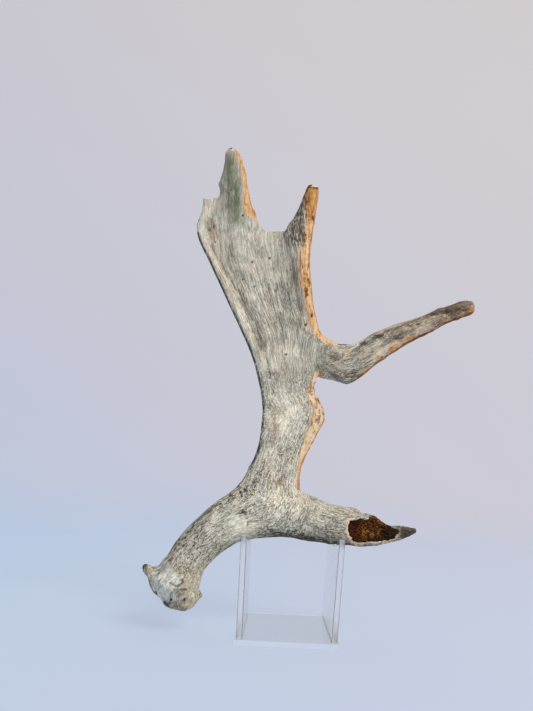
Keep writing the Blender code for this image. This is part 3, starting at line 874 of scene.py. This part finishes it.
def boneFinish():
    material, w, shader = newMaterial("weatheredBone")

    def mark(name):
        return w.attribute(name, "Fac")

    def laid(under, amount, colourName):
        return amount.blend(under, bone[colourName])

    onPalm, branch, onSide = mark("onPalm"), mark("branch"), mark("onSide")
    amber, gain = mark("amber"), mark("gain")
    flows = [w.attribute(name + "Flow") for name in flowNames]

    def grain(name):
        along, across, detail, roughness = bone[name]
        stem, palm, limb = (
            w.noise(flow.stretched(along, across, across), 1.0, detail, roughness) for flow in flows)
        trunk = stem + (palm - stem) * onPalm
        return trunk + (limb - trunk) * branch

    here = w.add("TexCoord", None, None, "Object")
    hue = w.noise(here, bone["hueScale"], 4, 0.6, 0.4)
    cloud = w.noise(here, bone["cloudScale"], 5, 0.65)
    patches = w.noise(here, bone["patchScale"], 3, 0.65)
    specks = w.noise(here, bone["speckScale"], 2, 0.6)
    wideStreak, longStreak, thread, highlight, dash, dot = (
        grain(name) for name in ("wideStreaks", "longStreaks", "threads", "highlights", "dashes", "dots"))

    # weathered ground: grey to pale, with warm and mossy patches
    calm = 1 - mark("calm")
    tone = cloud * 0.45 + (longStreak - 0.5) * 0.6 * calm + 0.3 + patches * 0.5
    tone = tone + (1 - onPalm) * (1 - branch) * 0.05
    colour = tone.step(0.60, 0.95).blend(bone["grey"], bone["pale"])
    colour = laid(colour, hue.step(0.50, 0.66) * patches.step(0.35, 0.65) * 0.6, "warm")
    colour = laid(colour, (1 - hue).step(0.5, 0.64) * 0.6, "moss")
    colour = laid(colour, mark("collar") * 0.7, "collar")

    # dark flecks and pale threads that follow the grain
    dirty = (1 - cloud).step(0.38, 0.64) * 0.07 + (patches - 0.5) * ((1 - onPalm) * 0.18 + 0.2)
    gather = (dash * 0.6 + longStreak * 0.4 + dirty).step(0.40, 0.56)
    fleck = (dot * 0.6 + specks * 0.4 + gather * 0.1).step(0.525, 0.60) * (gather * 0.85 + 0.15)
    fleckColour = (onPalm * 0.8).blend(bone["fleck"], bone["umber"])
    worn = 2.25 - gain * 1.25
    fewer = worn.maths("MINIMUM", worn, 1.3)  # the palest places are the cleanest
    light = (highlight * 0.7 + specks * 0.3).step(0.54, 0.66)
    darkThread = thread.step(0.5, 0.64) * (onPalm + 0.5) * (1 - branch) * calm * 0.36
    paleThread = (1 - thread).step(0.5, 0.66) * (onPalm + 0.6) * (1 - branch) * calm * 0.3
    colour = laid(colour, darkThread, "umber")
    colour = (fleck * (0.96 - onPalm * 0.16) * calm * fewer).blend(colour, fleckColour)
    colour = laid(colour, light * (0.75 - onPalm * 0.3), "thread")
    colour = laid(colour, paleThread, "thread")

    # the side tine's wide streaks, then brown and green
    colour = laid(colour, onSide * wideStreak.step(0.50, 0.60) * 0.62, "umber")
    colour = laid(colour, onSide * (1 - wideStreak).step(0.53, 0.63) * 0.6, "warm")
    brown = mark("brown") * (patches * 0.6 + dash * 0.5).step(0.38, 0.62) * 0.8
    colour = laid(colour, brown, "brown")
    greenStreak = wideStreak.step(0.2, 0.7) * 0.55 + dash.step(0.35, 0.65) * 0.3 + 0.22
    colour = laid(colour, mark("green") * greenStreak, "green")
    colour = colour.times(gain)

    # bare bone, from cream to amber, with brown cracks
    warm = (longStreak * 0.6 + cloud * 0.4 + patches * 0.5 + amber * 0.5 - 0.5).step(0.12, 0.62)
    ripe = amber + (patches - 0.5) * 1.1 + (longStreak - 0.5) * 1.2
    cracks = (dash * 0.55 + longStreak * 0.25 + patches * 0.2).step(0.55, 0.63)
    creases = (mark("crease") + (patches - 0.5) * 1.4 + (dash - 0.5)).step(0.35, 0.95)
    tan = warm.blend(bone["cream"], bone["tan"])
    tan = laid(tan, ripe.step(0.15, 1.05) * 0.95, "amber")
    tan = laid(tan, longStreak.step(0.50, 0.62) * (amber * 0.6 + 0.1), "brown")
    tan = laid(tan, (1 - longStreak).step(0.54, 0.66) * 0.3, "cream")
    tan = laid(tan, cracks * (0.72 - amber * 0.4), "russet")
    tan = laid(tan, light * (0.5 - amber * 0.4), "cream")
    tan = laid(tan, creases * 0.7, "russet")
    bare = mark("tan") + (patches - 0.5) * 0.7 + (dash - 0.5) * 0.6
    colour = bare.step(0.28, 0.74).blend(colour, tan)
    lip = (mark("lip") + (patches - 0.5) * 0.6).step(0.25, 0.7) * 0.75
    colour = laid(colour, lip, "cream")

    # the broken hollow's spongy inside, with painted shade between its fibres and near-black painted shade at
    # its right end and foot
    fibres = w.noise(here.stretched(0.5, 1, 1), bone["spongeScale"], 4, 0.8, 0.6)
    lumps = w.noise(here, bone["spongeLumpScale"], 2, 0.5)
    pores = (fibres * 0.75 + lumps * 0.25).step(0.485, 0.60)
    inside = pores.blend(bone["poreShade"], bone["gold"])
    inside = (mark("rust") * 0.95).blend(inside, pores.blend(bone["poreShade"], bone["rust"]))
    inside = laid(inside, mark("soot") * (1 - fibres.step(0.52, 0.66) * 0.5), "soot")
    colour = mark("hollow").step(0.35, 0.65).blend(colour, inside)

    # dirt over all of it, with painted shade on edges turned to the left and under the beam and brow tine
    stain = mark("stain")
    dirtAndShadeLevel = stain + (patches - 0.5) * 0.9 + (dash - 0.5) * 1.8 + (longStreak - 0.5) * 0.7
    colour = laid(colour, dirtAndShadeLevel.step(0.1, 0.85) * stain.step(0.02, 0.4) * 0.92, "stain")
    # painted shade: the pits and slits are painted near black
    colour = laid(colour, mark("pits") * 0.95, "soot")

    height = dash * 0.5 + dot * 0.3 + longStreak * 0.4
    sockets = {"Strength": bone["bumpStrength"], "Distance": bone["bumpHeight"], "Height": height}
    bump = w.add("Bump", None, sockets)
    w.feed(shader, {"Base Color": colour, "Roughness": tone * 0.2 + bone["roughness"], "Normal": bump})
    shader.inputs["Specular IOR Level"].default_value = bone["specular"]
    print("bone finish:", len(material.node_tree.nodes), "nodes")
    return material


# the stand's clear sheet; lengths in metres
acrylic = {
    "ior": 1.49,
    "edgeTint": (0.965, 0.975, 0.96),
    "polish": 0.01,  # roughness of the clean faces
    "smudges": 0.04,  # how much rougher they are where smudged
    "frost": 0.36,  # how much rougher the sawn edges are
    "farEdge": (0.072, 0.0745),  # the depths between which the far edges start to glow with painted light
    "nearEdge": (-0.0775, -0.0765),  # and those of the near edges
    "shine": (1.0, 1.0, 0.98),
    "shadowTint": (0.97, 0.975, 0.97),
    "shadowClear": 0.9,
    "glueTint": (0.20, 0.18, 0.15),
    "glueTop": (0.0068, 0.0088),  # the heights between which the glue fades out
    "glueCloud": 0.75,
    "base": {"axis": 2, "tint": (0.85, 0.875, 0.79), "nearShine": 0.4, "glow": 0.2, "glued": False},
    "wall": {"axis": 0, "tint": (0.935, 0.955, 0.915), "nearShine": 0.1, "glow": 0.08, "glued": True},
}


def acrylicFinish(name, sheet):
    # clear sheet with polished faces and slightly frosted sawn edges; its axis is the way through the sheet
    material, w, shader = newMaterial(name)
    shader.inputs["Transmission Weight"].default_value = 1.0
    shader.inputs["IOR"].default_value = acrylic["ior"]
    here = w.add("TexCoord", None, None, "Object")
    _, y, z = here.parts()
    facing = w.add("TexCoord", None, None, "Normal").parts()[sheet["axis"]]
    edge = 1 - facing.maths("ABSOLUTE", facing).step(0.6, 0.9)
    smudge = w.noise(here, 30, 4, 0.6).step(0.45, 0.75)
    roughness = smudge * acrylic["smudges"] + edge * acrylic["frost"] + acrylic["polish"]
    tint = edge.blend(sheet["tint"], acrylic["edgeTint"])
    w.feed(shader, {"Base Color": tint, "Roughness": roughness})

    # painted light: the sawn edges glow, the far ones most, in place of the light they catch
    nearShine = (1 - y.step(*acrylic["nearEdge"])) * sheet["nearShine"]
    shine = edge * (y.step(*acrylic["farEdge"]) * 0.85 + nearShine + 0.03)
    w.feed(shader, {"Emission Color": shine.blend((0, 0, 0), acrylic["shine"])})
    shader.inputs["Emission Strength"].default_value = sheet["glow"]

    # shadows stay light, and a cloudy line of old glue runs along a wall's foot
    clear = w.add("BsdfTransparent", None, {"Color": acrylic["shadowTint"]})
    shadowRay = w.add("LightPath", None, None, "Is Shadow Ray")
    lit = Wire(w.tree, shader.outputs["BSDF"])
    mixed = w.add("MixShader", None, {0: shadowRay * acrylic["shadowClear"], 1: lit, 2: clear})
    if sheet["glued"]:
        look = {"Base Color": acrylic["glueTint"], "Roughness": 0.5}
        cloudy = w.add("BsdfPrincipled", None, look)
        fadeFrom, fadeTo = (anchor.z + height for height in acrylic["glueTop"])
        glue = (1 - z.step(fadeFrom, fadeTo)) * (1 - edge) * acrylic["glueCloud"]
        mixed = w.add("MixShader", None, {0: glue, 1: mixed, 2: cloudy})
    w.feed(w.tree.nodes["Material Output"], {"Surface": mixed})
    return material


# floor, light and camera; lengths in metres and angles in degrees
studio = {
    # the paper's tints paint light across it: bluer low down and to the left, warmer and lighter up and to
    # the right
    "paperTints": [(0.0, (0.58, 0.70, 0.90)), (0.35, (0.70, 0.695, 0.79)), (1.0, (0.77, 0.715, 0.705))],
    "paperGlow": 0.7,  # how much of the paper's brightness is its own, which softens the shadows
    "paperHalfWidth": 7.0,
    "paperNear": -8.0,
    "paperFar": 1.2,  # where the floor starts to sweep up
    "sweepRadius": 0.6,
    "sweepSteps": 12,
    "paperTop": 6.0,
    "distance": 0.80,
    "cameraHeight": 0.161,
    "cameraLeft": 0.016,
    "pitch": 11.4,
    "turn": 1.4,
    "roll": 2.5,
    "lens": 33.2,
    "keyPlace": (1.5, -2.0, 2.2),
    "keyAim": (0, 0, 0.3),
    "keySize": 1.6,
    "keyPower": 61,
    "keyColour": (1.0, 0.98, 0.95),
    "roomColour": (0.94, 0.96, 1.0),
    "roomLight": 0.56,
}


def backdrop():
    # a paper sweep: flat floor, a quarter turn, and a wall
    radius, far, steps = studio["sweepRadius"], studio["paperFar"], studio["sweepSteps"]
    profile = [(studio["paperNear"], 0.0), (far, 0.0)]
    for k in range(1, steps + 1):
        angle = math.radians(90 * k / steps)
        profile.append((far + radius * math.sin(angle), radius * (1 - math.cos(angle))))
    profile.append((far + radius, studio["paperTop"]))
    vertices = [(side * studio["paperHalfWidth"], y, z) for y, z in profile for side in (-1, 1)]
    faces = [(2 * k, 2 * k + 1, 2 * k + 3, 2 * k + 2) for k in range(len(profile) - 1)]
    mesh = bpy.data.meshes.new("backdrop")
    mesh.from_pydata(vertices, [], faces)
    sweep = added("backdrop", mesh)
    only(sweep)
    bpy.ops.object.shade_smooth()
    mesh.materials.append(paperFinish())


def paperFinish():
    material, w, shader = newMaterial("palePaper")
    x, y, z = w.add("TexCoord", None, None, "Object").parts()
    eye = studio["cameraHeight"]
    spread = 1.7 / (y.maths("MAXIMUM", y, 0.9) + 0.8)  # the tints widen towards the far wall
    raised = z * spread - spread * eye + eye
    high = raised.maths("MAXIMUM", raised, 0.0)
    # painted light: the tint moves along the ramp to the right and higher up
    place = x * spread * 0.2 + high * 0.33 + high.step(0.0, 0.2) * 0.15 + 0.12
    tint = w.add("ValToRGB", {"stops": studio["paperTints"]}, {"Fac": place})
    w.feed(shader, {"Base Color": tint.times(1 - studio["paperGlow"]), "Emission Color": tint})
    shader.inputs["Emission Strength"].default_value = studio["paperGlow"] * 0.83
    shader.inputs["Roughness"].default_value = 0.9
    return material


def lights():
    data = bpy.data.lights.new("key", "AREA")
    data.shape = "SQUARE"
    data.size = studio["keySize"]
    data.energy = studio["keyPower"]
    data.color = studio["keyColour"]
    key = added("key", data)
    key.location = studio["keyPlace"]
    aim = Vector(studio["keyAim"]) - Vector(studio["keyPlace"])
    key.rotation_euler = aim.to_track_quat("-Z", "Y").to_euler()
    world = bpy.data.worlds.new("room")
    world.use_nodes = True
    background = world.node_tree.nodes["Background"]
    background.inputs["Color"].default_value = (*studio["roomColour"], 1)
    background.inputs["Strength"].default_value = studio["roomLight"]
    bpy.context.scene.world = world


def camera():
    data = bpy.data.cameras.new("camera")
    data.lens = studio["lens"]
    data.sensor_width = 36
    data.clip_start = 0.01
    obj = added("camera", data)
    pose = Matrix.Translation((-studio["cameraLeft"], -studio["distance"], studio["cameraHeight"]))
    for angle, axis in ((studio["turn"], "Z"), (90 + studio["pitch"], "X"), (studio["roll"], "Z")):
        pose = pose @ Matrix.Rotation(math.radians(angle), 4, axis)
    obj.matrix_world = pose
    bpy.context.scene.camera = obj


bpy.context.scene.view_settings.view_transform = "Standard"
camera()
lights()
backdrop()
print("studio: camera, key light, room light and paper sweep")

skinObject = shapedAntler()
skinObject.data.materials.append(boneFinish())
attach(skinObject, "root")
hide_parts(*antler["nodes"])
print("antler: shaped, marked and finished")

baseAcrylic = acrylicFinish("clearSheet", acrylic["base"])
wallAcrylic = acrylicFinish("clearWall", acrylic["wall"])
sheets = {"stand_base": baseAcrylic, "stand_left_wall": wallAcrylic, "stand_right_wall": wallAcrylic}
for node, finish in sheets.items():
    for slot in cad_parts[node].material_slots:
        slot.material = finish
print("stand: clear acrylic on", len(sheets), "sheets")
